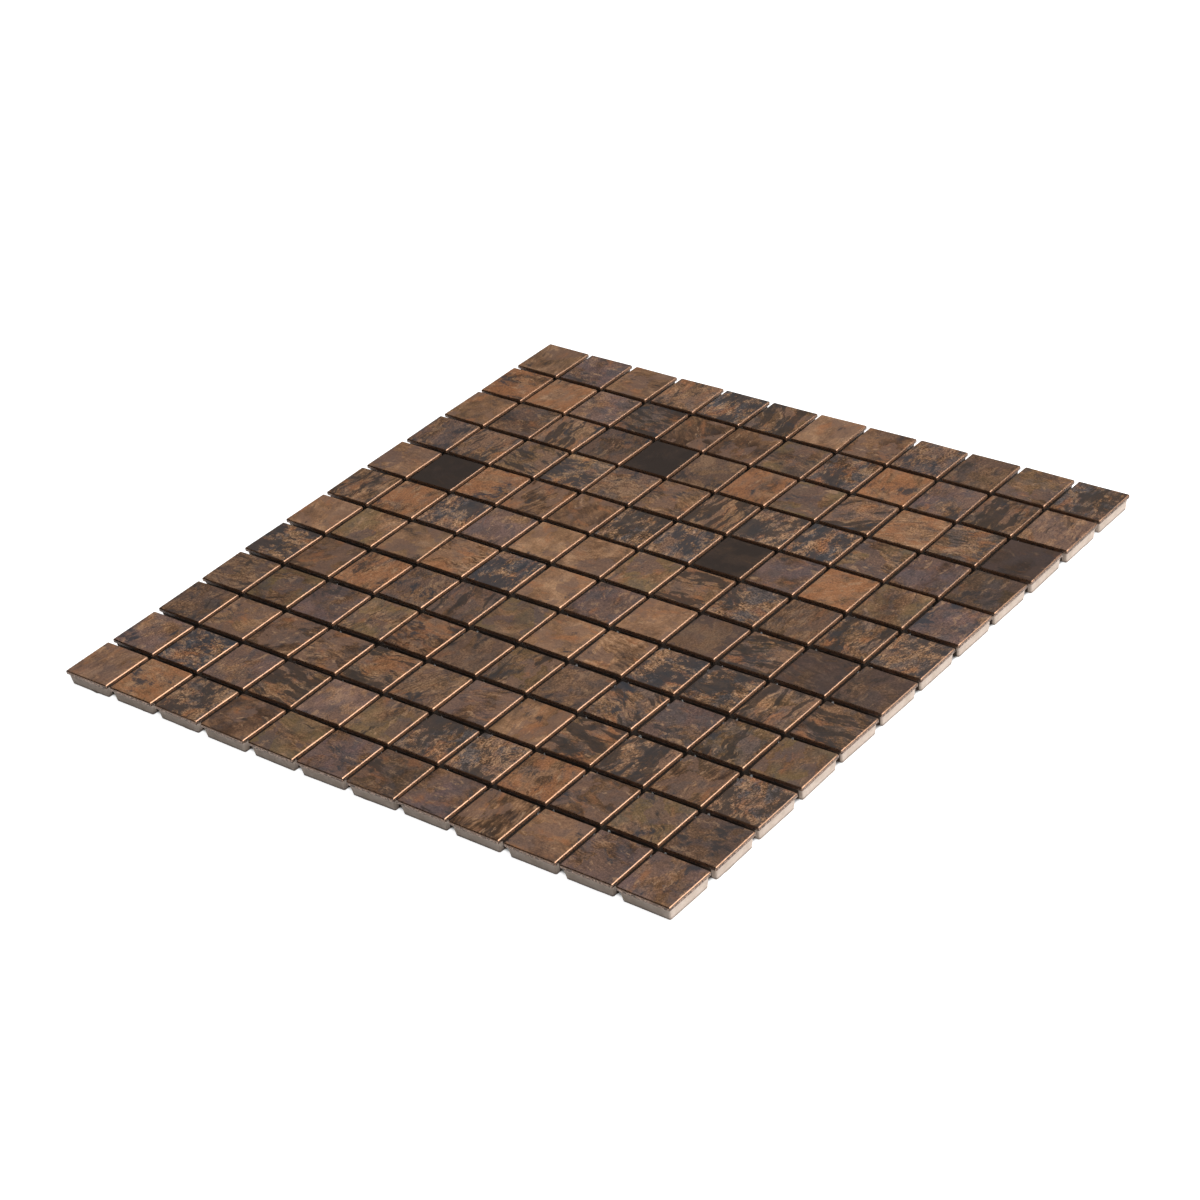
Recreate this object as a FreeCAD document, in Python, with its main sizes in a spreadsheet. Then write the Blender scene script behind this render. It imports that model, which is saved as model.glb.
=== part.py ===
import FreeCAD, Part
import math
import os
import random
import Sketcher

# A sheet of square mosaic tiles, laid by hand on a backing mesh with open joints.
# Each tile is a tapered ceramic body with a thin pressed copper cap over its top.
# The origin is the middle of the underside, +Z is up and the rows run along X.

doc = FreeCAD.newDocument("mosaic_tile_sheet")

# Driving sizes, in millimetres and degrees
sheet = doc.addObject("Spreadsheet::Sheet", "sizes")
drivingSizes = [
    ("tileCount", 12, "tiles in one row"),
    ("rowCount", 12, "rows of tiles"),
    ("capSide", 23, "side of the copper cap"),
    ("jointWidth", 2, "open joint between two caps"),
    ("capDrop", 1.4, "height of the cap, its folded rim included"),
    ("capSkin", 0.4, "thickness of the copper"),
    ("capCorner", 0.5, "flat on each upright corner of the cap"),
    ("capEdge", 0.35, "bevel along the cap's top edge"),
    ("seatGap", 0.05, "clearance between the rim and the ceramic, on each side"),
    ("bodyHeight", 6.2, "height of the ceramic body"),
    ("bodyDraft", 6.9, "draft of the body's sides, in degrees, narrower towards the foot"),
    ("bodyCorner", 0.6, "flat on each upright corner of the body"),
    ("yarnWidth", 0.9, "width of a flat glass yarn"),
    ("yarnThick", 0.2, "thickness of one yarn, and of each layer of the mesh"),
    ("yarnPitch", 5.2, "from one yarn to the next"),
    ("meshMargin", 4, "from the sheet's outline in to the cut ends of the yarns"),
    ("yarnTail", 2, "least length of yarn past the outermost crossing"),
    ("layingShift", 0.22, "most that a tile lies off its place by chance, each way"),
    ("layingTurn", 0.9, "most that a tile is turned, in degrees"),
    ("bowAcross", 1.2, "most that the rows drift along X as the sheet bows"),
    ("bowDeep", 0.9, "most that the rows drift along Y as the sheet bows"),
    ("bowCrestRow", 6, "row where the bow is fullest, counted from 0"),
    ("bowWaveRows", 10.5, "rows in one wave of the bow"),
    ("bowCrestColumn", 4, "column where the bow is fullest, counted from 0"),
    ("bowSpreadColumns", 3, "columns over which the bow dies down to half"),
]
for line, (alias, value, note) in enumerate(drivingSizes, start=1):
    sheet.set("A%d" % line, note)
    sheet.set("B%d" % line, str(value))
    sheet.setAlias("B%d" % line, alias)
doc.recompute()

layingSeed = 7
tilePitch = "(sizes.capSide + sizes.jointWidth)"
crownSide = "(sizes.capSide - 2 * sizes.capSkin - 2 * sizes.seatGap)"


def size(alias):
    return float(getattr(sheet, alias))


def plane(body, role):
    return [feature for feature in body.Origin.OriginFeatures if feature.Role == role][0]


# A square about the origin, its side bound to an expression
def squareSketch(body, name, sideExpression):
    sketch = body.newObject("Sketcher::SketchObject", name)
    sketch.AttachmentSupport = [(plane(body, "XY_Plane"), "")]
    sketch.MapMode = "FlatFace"
    corners = [(-1, -1), (1, -1), (1, 1), (-1, 1)]
    points = [FreeCAD.Vector(x, y, 0) for x, y in corners]
    for k in range(4):
        sketch.addGeometry(Part.LineSegment(points[k], points[(k + 1) % 4]))
    for k in range(4):
        sketch.addConstraint(Sketcher.Constraint("Coincident", k, 2, (k + 1) % 4, 1))
    for k in (0, 2):
        sketch.addConstraint(Sketcher.Constraint("Horizontal", k))
    for k in (1, 3):
        sketch.addConstraint(Sketcher.Constraint("Vertical", k))
    sketch.addConstraint(Sketcher.Constraint("Symmetric", 0, 1, 1, 2, -1, 1))
    width = sketch.addConstraint(Sketcher.Constraint("DistanceX", 0, 1, 0, 2, 2))
    depth = sketch.addConstraint(Sketcher.Constraint("DistanceY", 1, 1, 1, 2, 2))
    for index, word in ((width, "width"), (depth, "depth")):
        sketch.renameConstraint(index, word)
        sketch.setExpression("Constraints." + word, sideExpression)
    return sketch


# Names of the edges of a shape that a test picks out
def edgeNames(shape, test):
    return ["Edge%d" % (n + 1) for n, edge in enumerate(shape.Edges) if test(edge)]


def rises(edge):
    return edge.BoundBox.ZLength > edge.BoundBox.DiagonalLength / 2


# Names of the faces of a shape that a test picks out
def faceNames(shape, test):
    return ["Face%d" % (n + 1) for n, face in enumerate(shape.Faces) if test(face)]


def stands(face):
    return abs(face.normalAt(0, 0).z) < 0.5


def bevel(body, name, base, edges, sizeExpression):
    chamfer = body.newObject("PartDesign::Chamfer", name)
    chamfer.Base = (base, edges)
    chamfer.setExpression("Size", sizeExpression)
    doc.recompute()
    return chamfer


# Copper cap: a shallow pan, open below, its rim folded down over the ceramic
def makeCap():
    cap = doc.addObject("PartDesign::Body", "capMaster")
    blank = cap.newObject("PartDesign::Pad", "capBlank")
    blank.Profile = squareSketch(cap, "capPlan", "sizes.capSide")
    blank.setExpression("Length", "sizes.capDrop")
    doc.recompute()
    cornered = bevel(cap, "capCorners", blank, edgeNames(blank.Shape, rises), "sizes.capCorner")
    halfway = size("capDrop") / 2
    topEdges = edgeNames(cornered.Shape, lambda edge: edge.BoundBox.ZMin > halfway)
    edged = bevel(cap, "capTopEdge", cornered, topEdges, "sizes.capEdge")
    hollow = cap.newObject("PartDesign::Pocket", "capHollow")
    hollow.Profile = squareSketch(cap, "capInside", "sizes.capSide - 2 * sizes.capSkin")
    hollow.setExpression("Length", "sizes.capDrop - sizes.capSkin")
    hollow.Reversed = True
    doc.recompute()
    inside = size("capSide") - 2 * size("capSkin")
    removed = edged.Shape.Volume - hollow.Shape.Volume
    expected = inside ** 2 * (size("capDrop") - size("capSkin"))
    if not math.isclose(removed, expected, rel_tol=0.01):
        raise ValueError("the cap's hollow took away %.2f, not %.2f" % (removed, expected))
    return cap


# Ceramic body: pressed with a draft, widest at the top, where it fills the cap
def makeBody():
    body = doc.addObject("PartDesign::Body", "bodyMaster")
    block = body.newObject("PartDesign::Pad", "bodyBlock")
    footSide = crownSide + " - 2 * sizes.bodyHeight * tan(sizes.bodyDraft)"
    block.Profile = squareSketch(body, "bodyFootPlan", footSide)
    block.setExpression("Length", "sizes.bodyHeight")
    doc.recompute()
    taper = body.newObject("PartDesign::Draft", "bodyTaper")
    taper.Base = (block, faceNames(block.Shape, stands))
    taper.NeutralPlane = (plane(body, "XY_Plane"), [""])
    taper.setExpression("Angle", "sizes.bodyDraft")
    taper.Reversed = True
    doc.recompute()
    bevel(body, "bodyCorners", taper, edgeNames(taper.Shape, rises), "sizes.bodyCorner")
    return body


# A flat yarn of the mesh: a long thin bar
def makeYarn(name, lengthExpression):
    yarn = doc.addObject("Part::Box", name)
    yarn.setExpression("Length", lengthExpression)
    yarn.setExpression("Width", "sizes.yarnWidth")
    yarn.setExpression("Height", "sizes.yarnThick")
    return yarn


# Copies of one master at a list of places, as one named sub-part of separate solids
def laidOut(label, master, places, yExpression, zExpression):
    copies = doc.addObject("App::Link", label + "_copies")
    copies.LinkedObject = master
    copies.ShowElement = False
    copies.ElementCount = len(places)
    copies.PlacementList = places
    group = doc.addObject("Part::Compound", label)
    group.Label = label
    group.Links = [copies]
    group.setExpression("Placement.Base.y", yExpression)
    group.setExpression("Placement.Base.z", zExpression)
    return group


upright = FreeCAD.Vector(0, 0, 1)
capMaster = makeCap()
bodyMaster = makeBody()
subParts = []

across = int(size("tileCount"))
deep = int(size("rowCount"))
hand = random.Random(layingSeed)


# The sheet lies a little bowed: its rows drift in one slow wave, fullest near one column
def bow(column, row):
    wave = math.cos(2 * math.pi * (row - size("bowCrestRow")) / size("bowWaveRows"))
    away = (column - size("bowCrestColumn")) / size("bowSpreadColumns")
    return wave * (1 + 1 / (1 + away ** 2)) / 2


# Where one tile lies in its row: a little off its place by hand, a little turned
def laidTile(column, row):
    pitch = size("capSide") + size("jointWidth")
    x = (column - (across - 1) / 2) * pitch - size("bowAcross") * bow(column, row)
    y = size("bowDeep") * bow(column, row)
    x += hand.uniform(-1, 1) * size("layingShift")
    y += hand.uniform(-1, 1) * size("layingShift")
    turn = hand.uniform(-1, 1) * size("layingTurn")
    return FreeCAD.Placement(FreeCAD.Vector(x, y, 0), FreeCAD.Rotation(upright, turn))


# Rows of tiles, each row of caps and of bodies a sub-part of its own
meshTop = "2 * sizes.yarnThick"
capFoot = meshTop + " + sizes.bodyHeight + sizes.capSkin - sizes.capDrop"
for row in range(deep):
    places = [laidTile(column, row) for column in range(across)]
    rowMiddle = "(%d - (sizes.rowCount - 1) / 2) * %s" % (row, tilePitch)
    bodyRow = "ceramic_bodies_row_%02d" % (row + 1)
    capRow = "copper_caps_row_%02d" % (row + 1)
    subParts.append(laidOut(bodyRow, bodyMaster, places, rowMiddle, meshTop))
    subParts.append(laidOut(capRow, capMaster, places, rowMiddle, capFoot))

# Backing mesh: weft yarns along X below, warp yarns along Y on top of them
reach = "sizes.%s * %s - sizes.jointWidth - 2 * sizes.meshMargin"
weftMaster = makeYarn("weftYarn", reach % ("tileCount", tilePitch))
warpMaster = makeYarn("warpYarn", reach % ("rowCount", tilePitch))
doc.recompute()
weftLength = weftMaster.Length.Value
warpLength = warpMaster.Length.Value


def yarnOffsets(span):
    eachWay = math.floor((span / 2 - size("yarnTail")) / size("yarnPitch"))
    return [k * size("yarnPitch") for k in range(-eachWay, eachWay + 1)]


alongX = FreeCAD.Rotation()
alongY = FreeCAD.Rotation(upright, 90)
halfWidth = size("yarnWidth") / 2
weftPlaces = [
    FreeCAD.Placement(FreeCAD.Vector(-weftLength / 2, y - halfWidth, 0), alongX)
    for y in yarnOffsets(warpLength)
]
warpPlaces = [
    FreeCAD.Placement(FreeCAD.Vector(x + halfWidth, -warpLength / 2, 0), alongY)
    for x in yarnOffsets(weftLength)
]
subParts.append(laidOut("mesh_weft_yarns", weftMaster, weftPlaces, "0", "0"))
subParts.append(laidOut("mesh_warp_yarns", warpMaster, warpPlaces, "0", "sizes.yarnThick"))
doc.recompute()

# Nothing is written unless every object is sound
for item in doc.Objects:
    if "Invalid" in item.State or "Error" in item.State:
        raise ValueError("%s failed: %s" % (item.Name, item.State))
for part in subParts:
    if part.Shape.isNull() or not part.Shape.isValid():
        raise ValueError("%s has no valid shape" % part.Label)

os.makedirs("parts", exist_ok=True)
for part in subParts:
    part.Shape.exportStep("parts/%s.step" % part.Label)

whole = Part.makeCompound([part.Shape for part in subParts])
box = whole.BoundBox
print("sub-parts %d, solids %d" % (len(subParts), len(whole.Solids)))
print("size %.2f x %.2f x %.2f mm, lowest %.3f" % (box.XLength, box.YLength, box.ZLength, box.ZMin))
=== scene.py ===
import bpy
import bmesh
import math
import random
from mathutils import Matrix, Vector


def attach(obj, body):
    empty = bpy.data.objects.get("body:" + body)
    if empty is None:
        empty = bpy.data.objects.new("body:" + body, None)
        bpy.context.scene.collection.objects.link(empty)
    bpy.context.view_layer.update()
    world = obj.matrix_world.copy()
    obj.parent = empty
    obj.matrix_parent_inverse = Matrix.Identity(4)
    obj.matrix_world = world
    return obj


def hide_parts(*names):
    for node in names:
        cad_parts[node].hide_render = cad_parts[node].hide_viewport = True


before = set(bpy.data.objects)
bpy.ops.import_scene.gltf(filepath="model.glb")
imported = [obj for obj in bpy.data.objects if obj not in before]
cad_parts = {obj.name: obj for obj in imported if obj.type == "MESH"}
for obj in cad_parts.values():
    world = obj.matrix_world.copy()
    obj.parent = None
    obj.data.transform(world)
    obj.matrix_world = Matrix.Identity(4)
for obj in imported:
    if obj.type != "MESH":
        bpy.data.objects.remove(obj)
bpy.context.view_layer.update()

# A sheet of copper-faced mosaic tiles on a glass mesh, as it lies on a table.
# The CAD part says where every tile lies; this script gives tiles, mesh and glue their surfaces.
mm = 0.001

sheet = dict(
    rows=12,
    columns=12,
    slack=0.04,  # mm that the dented tiles stay inside the CAD outline
    outside=(146.3, 147.1),  # mm from the middle, from between the tiles to the sheet's outer sides
    mergeWithin=0.002,  # mm, joins the CAD's loose triangles
)


# A node with its inputs set, by number or name, to a value or to another node's output
def addNode(tree, kind, inputs=None, **settings):
    made = tree.nodes.new(kind)
    for name, value in settings.items():
        setattr(made, name, value)
    for name, value in (inputs or {}).items():
        if isinstance(value, bpy.types.NodeSocket):
            tree.links.new(value, made.inputs[name])
        else:
            made.inputs[name].default_value = value
    return made


def maths(tree, operation, first, second=0.0, third=0.0):
    inputs = {0: first, 1: second, 2: third}
    return addNode(tree, "ShaderNodeMath", inputs, operation=operation).outputs[0]


def product(tree, first, second):
    return maths(tree, "MULTIPLY", first, second)


def less(tree, first, second):
    return maths(tree, "SUBTRACT", first, second)


# The first value with the second on top, times a weight
def plus(tree, first, second, weight=1.0):
    return maths(tree, "MULTIPLY_ADD", second, weight, first)


# Named values added up by their weights, on top of a base if there is one
def weighed(tree, values, weights):
    total = weights.get("base", 0.0)
    for name, weight in weights.items():
        if name != "base":
            total = plus(tree, total, values[name], weight)
    return total


def vectorMaths(tree, operation, first, second=(0.0, 0.0, 0.0)):
    return addNode(tree, "ShaderNodeVectorMath", {0: first, 1: second}, operation=operation).outputs[0]


def stretched(tree, place, shares):
    return vectorMaths(tree, "MULTIPLY", place, shares)


def inMillimetres(tree, place):
    return stretched(tree, place, (1 / mm,) * 3)


def split(tree, vector):
    return addNode(tree, "ShaderNodeSeparateXYZ", {0: vector}).outputs[:3]


def joined(tree, x=0.0, y=0.0, z=0.0):
    return addNode(tree, "ShaderNodeCombineXYZ", {0: x, 1: y, 2: z}).outputs[0]


# How far a place is from the middle, the same all along a square
def awayFromMiddle(tree, x, y):
    return maths(tree, "MAXIMUM", maths(tree, "ABSOLUTE", x), maths(tree, "ABSOLUTE", y))


# 0 where the value is below low, 1 where it is above high, and smooth between
def rising(tree, value, low, high):
    inputs = {"Value": value, "From Min": low, "From Max": high}
    return addNode(tree, "ShaderNodeMapRange", inputs, interpolation_type="SMOOTHSTEP").outputs[0]


# Noises are given as (scale, detail, roughness, twist), the scale per mm unless a note says otherwise
def noise(tree, place, scale, detail=4.0, roughness=0.55, twist=0.0):
    inputs = {"Vector": place, "Scale": scale, "Detail": detail, "Roughness": roughness, "Distortion": twist}
    return addNode(tree, "ShaderNodeTexNoise", inputs)


def clouds(tree, place, *form):
    return noise(tree, place, *form).outputs[0]


# The same noise round nought
def mottle(tree, place, *form):
    return less(tree, clouds(tree, place, *form), 0.5)


# A noise with a direction, round nought
def drift(tree, place, *form):
    return vectorMaths(tree, "SUBTRACT", noise(tree, place, *form).outputs[1], (0.5, 0.5, 0.5))


def mixed(tree, factor, first, second, kind="MIX"):
    inputs = {0: factor, 6: first, 7: second}
    return addNode(tree, "ShaderNodeMix", inputs, data_type="RGBA", blend_type=kind).outputs[2]


def graded(tree, value, stops):
    ramp = addNode(tree, "ShaderNodeValToRGB", {0: value})
    points = ramp.color_ramp.elements
    while len(points) < len(stops):
        points.new(0.5)
    for point, (place, colour) in zip(points, stops):
        point.position = place
        point.color = colour
    return ramp.outputs[0]


def attribute(tree, name):
    return addNode(tree, "ShaderNodeAttribute", attribute_name=name).outputs["Vector"]


# 1 on the sides that face out of the sheet, 0 between the tiles; pieces lie at the origin, in metres
def outermost(tree):
    x, y, z = split(tree, addNode(tree, "ShaderNodeTexCoord").outputs["Object"])
    return rising(tree, awayFromMiddle(tree, x, y), *[limit * mm for limit in sheet["outside"]])


def newMaterial(name):
    material = bpy.data.materials.new(name)
    material.use_nodes = True
    return material, material.node_tree, material.node_tree.nodes["Principled BSDF"]


# Colour, roughness and relief of a surface; the relief's depth is in mm
def dress(tree, surface, colour, roughness, relief, strength, depth):
    tree.links.new(colour, surface.inputs["Base Color"])
    tree.links.new(roughness, surface.inputs["Roughness"])
    bump = addNode(tree, "ShaderNodeBump", {"Height": relief, "Strength": strength, "Distance": depth * mm})
    tree.links.new(bump.outputs[0], surface.inputs["Normal"])


def rgb(red, green, blue):
    return (red, green, blue, 1.0)


# Camera at the photograph's angle; the sheet lies a little turned in the frame
cameraView = dict(
    place=(0.66684, -0.71248, 0.60260),
    turn=(57.9427, 7.1732, 38.7030),  # degrees
    lens=87.816,
    sensor=36.0,
    near=0.01,
)
camera = bpy.data.objects.new("camera", bpy.data.cameras.new("camera"))
bpy.context.collection.objects.link(camera)
camera.location = cameraView["place"]
camera.rotation_euler = [math.radians(angle) for angle in cameraView["turn"]]
camera.data.lens = cameraView["lens"]
camera.data.sensor_width = cameraView["sensor"]
camera.data.clip_start = cameraView["near"]
bpy.context.scene.camera = camera
print("camera set")

# A tile's finish reaches its surface in three attributes, with three amounts in each
finishWords = dict(
    patinaOne=("dark", "warm", "blotchy"),
    patinaTwo=("olive", "lilac", "flamed"),
    patinaThree=("pale", "streaky", "rub"),
)

# Copper with a dark patina: browns with grain, tints, thin and streaky places, flames, slate blotches.
# A layer's patches begin at the noise value that opens gives for a tile's finish,
# and are full a width above it; cover is how strong they are.
soot = rgb(0.052, 0.040, 0.034)
black = rgb(0.050, 0.035, 0.028)
patina = dict(
    brown=[
        (0.12, rgb(0.067, 0.035, 0.020)), (0.34, rgb(0.174, 0.090, 0.046)),
        (0.52, rgb(0.306, 0.161, 0.082)), (0.70, rgb(0.470, 0.252, 0.134)),
        (0.88, rgb(0.635, 0.370, 0.208)),
    ],
    shade=dict(base=0.28, pale=0.42, broad=1.3, grained=1.0, lively=1.2),  # picks the brown
    sway=(0.075, 2.0),
    swayReach=3.6,  # mm that the pattern is bent by
    broad=(0.10, 6.0, 0.62),
    streaks=(0.8, 6.0, 0.66),
    fine=(1.3, 5.0, 0.80),
    grain=(0.16, 1.0, 1.0),  # the streaks are drawn out along the sheet's rolling
    grainShare=dict(base=0.2, streaky=1.9),
    fineShare=dict(base=0.38, blotchy=1.5),
    mottling=3.0,  # how much the fine mottle lightens and darkens the tints
    darkening=0.8,  # how much the broad fields vary a dark tile
    metallic=dict(base=0.35, bare=0.65),
    roughness=dict(base=0.40, fine=0.5, core=0.06, bare=-0.13),
    relief=dict(streaks=0.5, fine=0.5, core=-0.2, crimp=-1.2),
    bump=(0.4, 0.12),  # strength, and depth in mm
    gloss=0.3,
)
tints = [
    dict(  # olive and lilac lie in broad soft fields
        tone=rgb(0.265, 0.176, 0.082), shift=(300.0, 0.0, 0.0), noise=(0.07, 3.0),
        opens=dict(base=0.36), width=0.26, cover=dict(olive=0.75),
    ),
    dict(
        tone=rgb(0.235, 0.155, 0.150), shift=(0.0, 300.0, 0.0), noise=(0.07, 3.0),
        opens=dict(base=0.36), width=0.26, cover=dict(lilac=0.75),
    ),
    dict(  # islands of another tone, with crisp shores: mauve, or amber on a warm tile
        tones=(rgb(0.185, 0.118, 0.100), rgb(0.465, 0.250, 0.135)), toneBy="warm",
        shift=(150.0, 0.0, 0.0), noise=(0.085, 7.0, 0.50),
        opens=dict(base=0.535), width=0.015, cover=dict(base=0.7),
    ),
    dict(  # a blue-grey wash
        tone=rgb(0.104, 0.108, 0.119), shift=(0.0, 0.0, 700.0), noise=(0.13, 6.0, 0.6),
        opens=dict(base=0.47), width=0.14, cover=dict(base=0.13, blotchy=0.72),
    ),
    dict(  # thin places where the copper glows through
        tone=rgb(0.490, 0.205, 0.088),
        drawn=(0.45, 1.0, 1.0), shift=(0.0, 0.0, 90.0), noise=(0.16, 8.0, 0.60),
        opens=dict(base=0.60, warm=-0.20), width=0.16, cover=dict(base=0.66),
    ),
    dict(  # finer tan streaks
        tone=rgb(0.560, 0.335, 0.195),
        drawn=(0.45, 1.0, 1.0), shift=(50.0, 50.0, 50.0), noise=(0.30, 9.0, 0.70),
        opens=dict(base=0.60, blotchy=-0.08), width=0.05, cover=dict(base=0.65),
    ),
]
flames = dict(  # dark bands drawn out along the grain, in part of a tile
    tone=soot, drawn=(0.17, 1.0, 1.0), shift=(0.0, 0.0, 500.0), noise=(0.24, 9.0, 0.64),
    opens=dict(base=0.70, flamed=-0.21), width=0.035, cover=dict(base=0.8),
)
specks = dict(  # loose specks round the blotches
    shift=(0.0, 0.0, 40.0), noise=(0.9, 4.0, 0.65),
    opens=dict(base=0.70, blotchy=-0.07), width=0.02, cover=dict(base=0.7),
)
blotches = dict(
    tones=(rgb(0.074, 0.055, 0.045), rgb(0.054, 0.059, 0.071)),  # from brownest to bluest
    cluster=(0.08, 2.0),
    ragged=(0.36, 10.0, 0.80, 0.2),
    drawn=(0.55, 1.0, 1.0),
    level=dict(ragged=0.8, cluster=0.6),
    opens=dict(base=0.85, blotchy=-0.15),
    coreWidth=0.016,
    coreCover=dict(base=0.86, fine=0.8),
    haloWidth=0.06,
    haloCover=0.35,
)
foldedRim = dict(
    top=6.58,  # mm above the table, below this the rim begins
    fadeIn=(-0.12, 0.05),  # mm below its top, from face to rim
    outside=rgb(0.175, 0.110, 0.078),
    inside=rgb(0.215, 0.107, 0.058),  # between the tiles the rims keep their dark patina
    stain=(0.6, 5.0, 0.65),
    stained=(0.44, 0.60),
    stainCover=0.5,
    crimping=(1.25, 1.0),  # along the rim
    crimped=(0.50, 0.58),
    crimpCover=0.85,
    stretches=(0.13, 1.0),  # the crimps come in stretches of the rim
    stretched=(0.42, 0.52),
    folds=(0.15, 0.35),  # mm below its top, where crimps and ridges begin
    ridge=rgb(0.440, 0.310, 0.240),  # worn ridges between the crimps
    ridged=(0.50, 0.42),
    ridgeCover=0.7,
    metallic=dict(base=0.1, outside=0.5),
)
rubbedEdge = dict(
    bare=rgb(0.420, 0.240, 0.150),
    worn=(11.08, 11.22),  # mm from a tile's middle, from patina to bare copper
    uneven=(0.5, 5.0, 0.65),
    unevenBy=0.4,  # mm
    cover=dict(base=0.78, rub=0.2),
)


# Patches of a noise, as open and as strong as the finish asks for
def patches(tree, place, finish, layer):
    if "drawn" in layer:
        place = stretched(tree, place, layer["drawn"])
    level = clouds(tree, vectorMaths(tree, "ADD", place, layer["shift"]), *layer["noise"])
    start = weighed(tree, finish, layer["opens"])
    mask = rising(tree, level, start, plus(tree, start, layer["width"]))
    return product(tree, mask, weighed(tree, finish, layer["cover"]))


def overlaid(tree, colour, place, finish, layer):
    tone = layer["tone"] if "tone" in layer else mixed(tree, finish[layer["toneBy"]], *layer["tones"])
    return mixed(tree, patches(tree, place, finish, layer), colour, tone)


# The flat face of a cap; adds to marks what the relief and the roughness need
def paintFace(tree, cut, finish, marks):
    sway = stretched(tree, drift(tree, cut, *patina["sway"]), (patina["swayReach"] * 2,) * 3)
    bent = vectorMaths(tree, "ADD", cut, sway)
    streaks = mottle(tree, stretched(tree, bent, patina["grain"]), *patina["streaks"])
    fine = mottle(tree, cut, *patina["fine"])
    broad = mottle(tree, bent, *patina["broad"])
    grained = product(tree, streaks, weighed(tree, finish, patina["grainShare"]))
    lively = product(tree, fine, weighed(tree, finish, patina["fineShare"]))
    marks.update(streaks=streaks, fine=fine)
    shades = dict(finish, broad=broad, grained=grained, lively=lively)
    colour = graded(tree, weighed(tree, shades, patina["shade"]), patina["brown"])
    for layer in tints:
        colour = overlaid(tree, colour, bent, finish, layer)
    lighter = plus(tree, 1.0, lively, patina["mottling"])
    colour = mixed(tree, 1.0, colour, joined(tree, lighter, lighter, lighter), "MULTIPLY")
    colour = overlaid(tree, colour, bent, finish, flames)

    # Ragged slate blotches in clusters, with a thin halo
    levels = dict(
        cluster=clouds(tree, bent, *blotches["cluster"]),
        ragged=clouds(tree, stretched(tree, bent, blotches["drawn"]), *blotches["ragged"]),
    )
    level = weighed(tree, levels, blotches["level"])
    shore = weighed(tree, finish, blotches["opens"])
    marks["core"] = rising(tree, level, shore, plus(tree, shore, blotches["coreWidth"]))
    core = product(tree, marks["core"], weighed(tree, marks, blotches["coreCover"]))
    halo = rising(tree, level, less(tree, shore, blotches["haloWidth"]), shore)
    cover = maths(tree, "MAXIMUM", core, product(tree, halo, blotches["haloCover"]))
    cover = maths(tree, "MAXIMUM", cover, patches(tree, bent, finish, specks))
    colour = mixed(tree, cover, colour, mixed(tree, finish["rub"], *blotches["tones"]))
    dark = plus(tree, finish["dark"], product(tree, finish["dark"], broad), patina["darkening"])
    return mixed(tree, dark, colour, black)


# The folded rim is stretched copper, browner, with dark crimp marks
def paintRim(tree, cut, place, fallen, marks):
    around = joined(tree, maths(tree, "ADD", place[0], place[1]), split(tree, cut)[2])
    colour = mixed(tree, marks["outside"], foldedRim["inside"], foldedRim["outside"])
    stain = rising(tree, clouds(tree, cut, *foldedRim["stain"]), *foldedRim["stained"])
    colour = mixed(tree, product(tree, stain, foldedRim["stainCover"]), colour, soot)
    crimping = clouds(tree, around, *foldedRim["crimping"])
    stretches = rising(tree, clouds(tree, around, *foldedRim["stretches"]), *foldedRim["stretched"])
    folded = rising(tree, fallen, *foldedRim["folds"])
    crimp = product(tree, rising(tree, crimping, *foldedRim["crimped"]), stretches)
    ridge = product(tree, rising(tree, crimping, *foldedRim["ridged"]), marks["outside"])
    crimp, ridge = product(tree, crimp, folded), product(tree, ridge, folded)
    marks["crimp"] = crimp
    colour = mixed(tree, product(tree, ridge, foldedRim["ridgeCover"]), colour, foldedRim["ridge"])
    return mixed(tree, product(tree, crimp, foldedRim["crimpCover"]), colour, black)


def makePatina():
    material, tree, surface = newMaterial("patinated_copper")
    cut = attribute(tree, "cutPlace")  # mm, on the big sheet that the cap was cut from
    place = split(tree, attribute(tree, "tilePlace"))  # mm, from the middle of the tile
    finish = {}
    for word, names in finishWords.items():
        finish.update(zip(names, split(tree, attribute(tree, word))))
    finish["streaky"] = product(tree, finish["streaky"], finish["streaky"])  # few tiles have much of it
    marks = dict(outside=outermost(tree))
    fallen = less(tree, foldedRim["top"], place[2])
    isRim = rising(tree, fallen, *foldedRim["fadeIn"])
    face = paintFace(tree, cut, finish, marks)
    colour = mixed(tree, isRim, face, paintRim(tree, cut, place, fallen, marks))

    # Edges are rubbed to bare copper
    uneven = mottle(tree, cut, *rubbedEdge["uneven"])
    away = plus(tree, awayFromMiddle(tree, *place[:2]), uneven, rubbedEdge["unevenBy"])
    rubbed = product(tree, rising(tree, away, *rubbedEdge["worn"]), less(tree, 1.0, isRim))
    marks["bare"] = product(tree, rubbed, weighed(tree, finish, rubbedEdge["cover"]))
    colour = mixed(tree, marks["bare"], colour, rubbedEdge["bare"])
    metal = [weighed(tree, marks, shares) for shares in (patina["metallic"], foldedRim["metallic"])]
    tree.links.new(mixed(tree, isRim, *metal), surface.inputs["Metallic"])
    surface.inputs["Specular IOR Level"].default_value = patina["gloss"]
    roughness, relief = weighed(tree, marks, patina["roughness"]), weighed(tree, marks, patina["relief"])
    dress(tree, surface, colour, roughness, relief, *patina["bump"])
    return material


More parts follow.
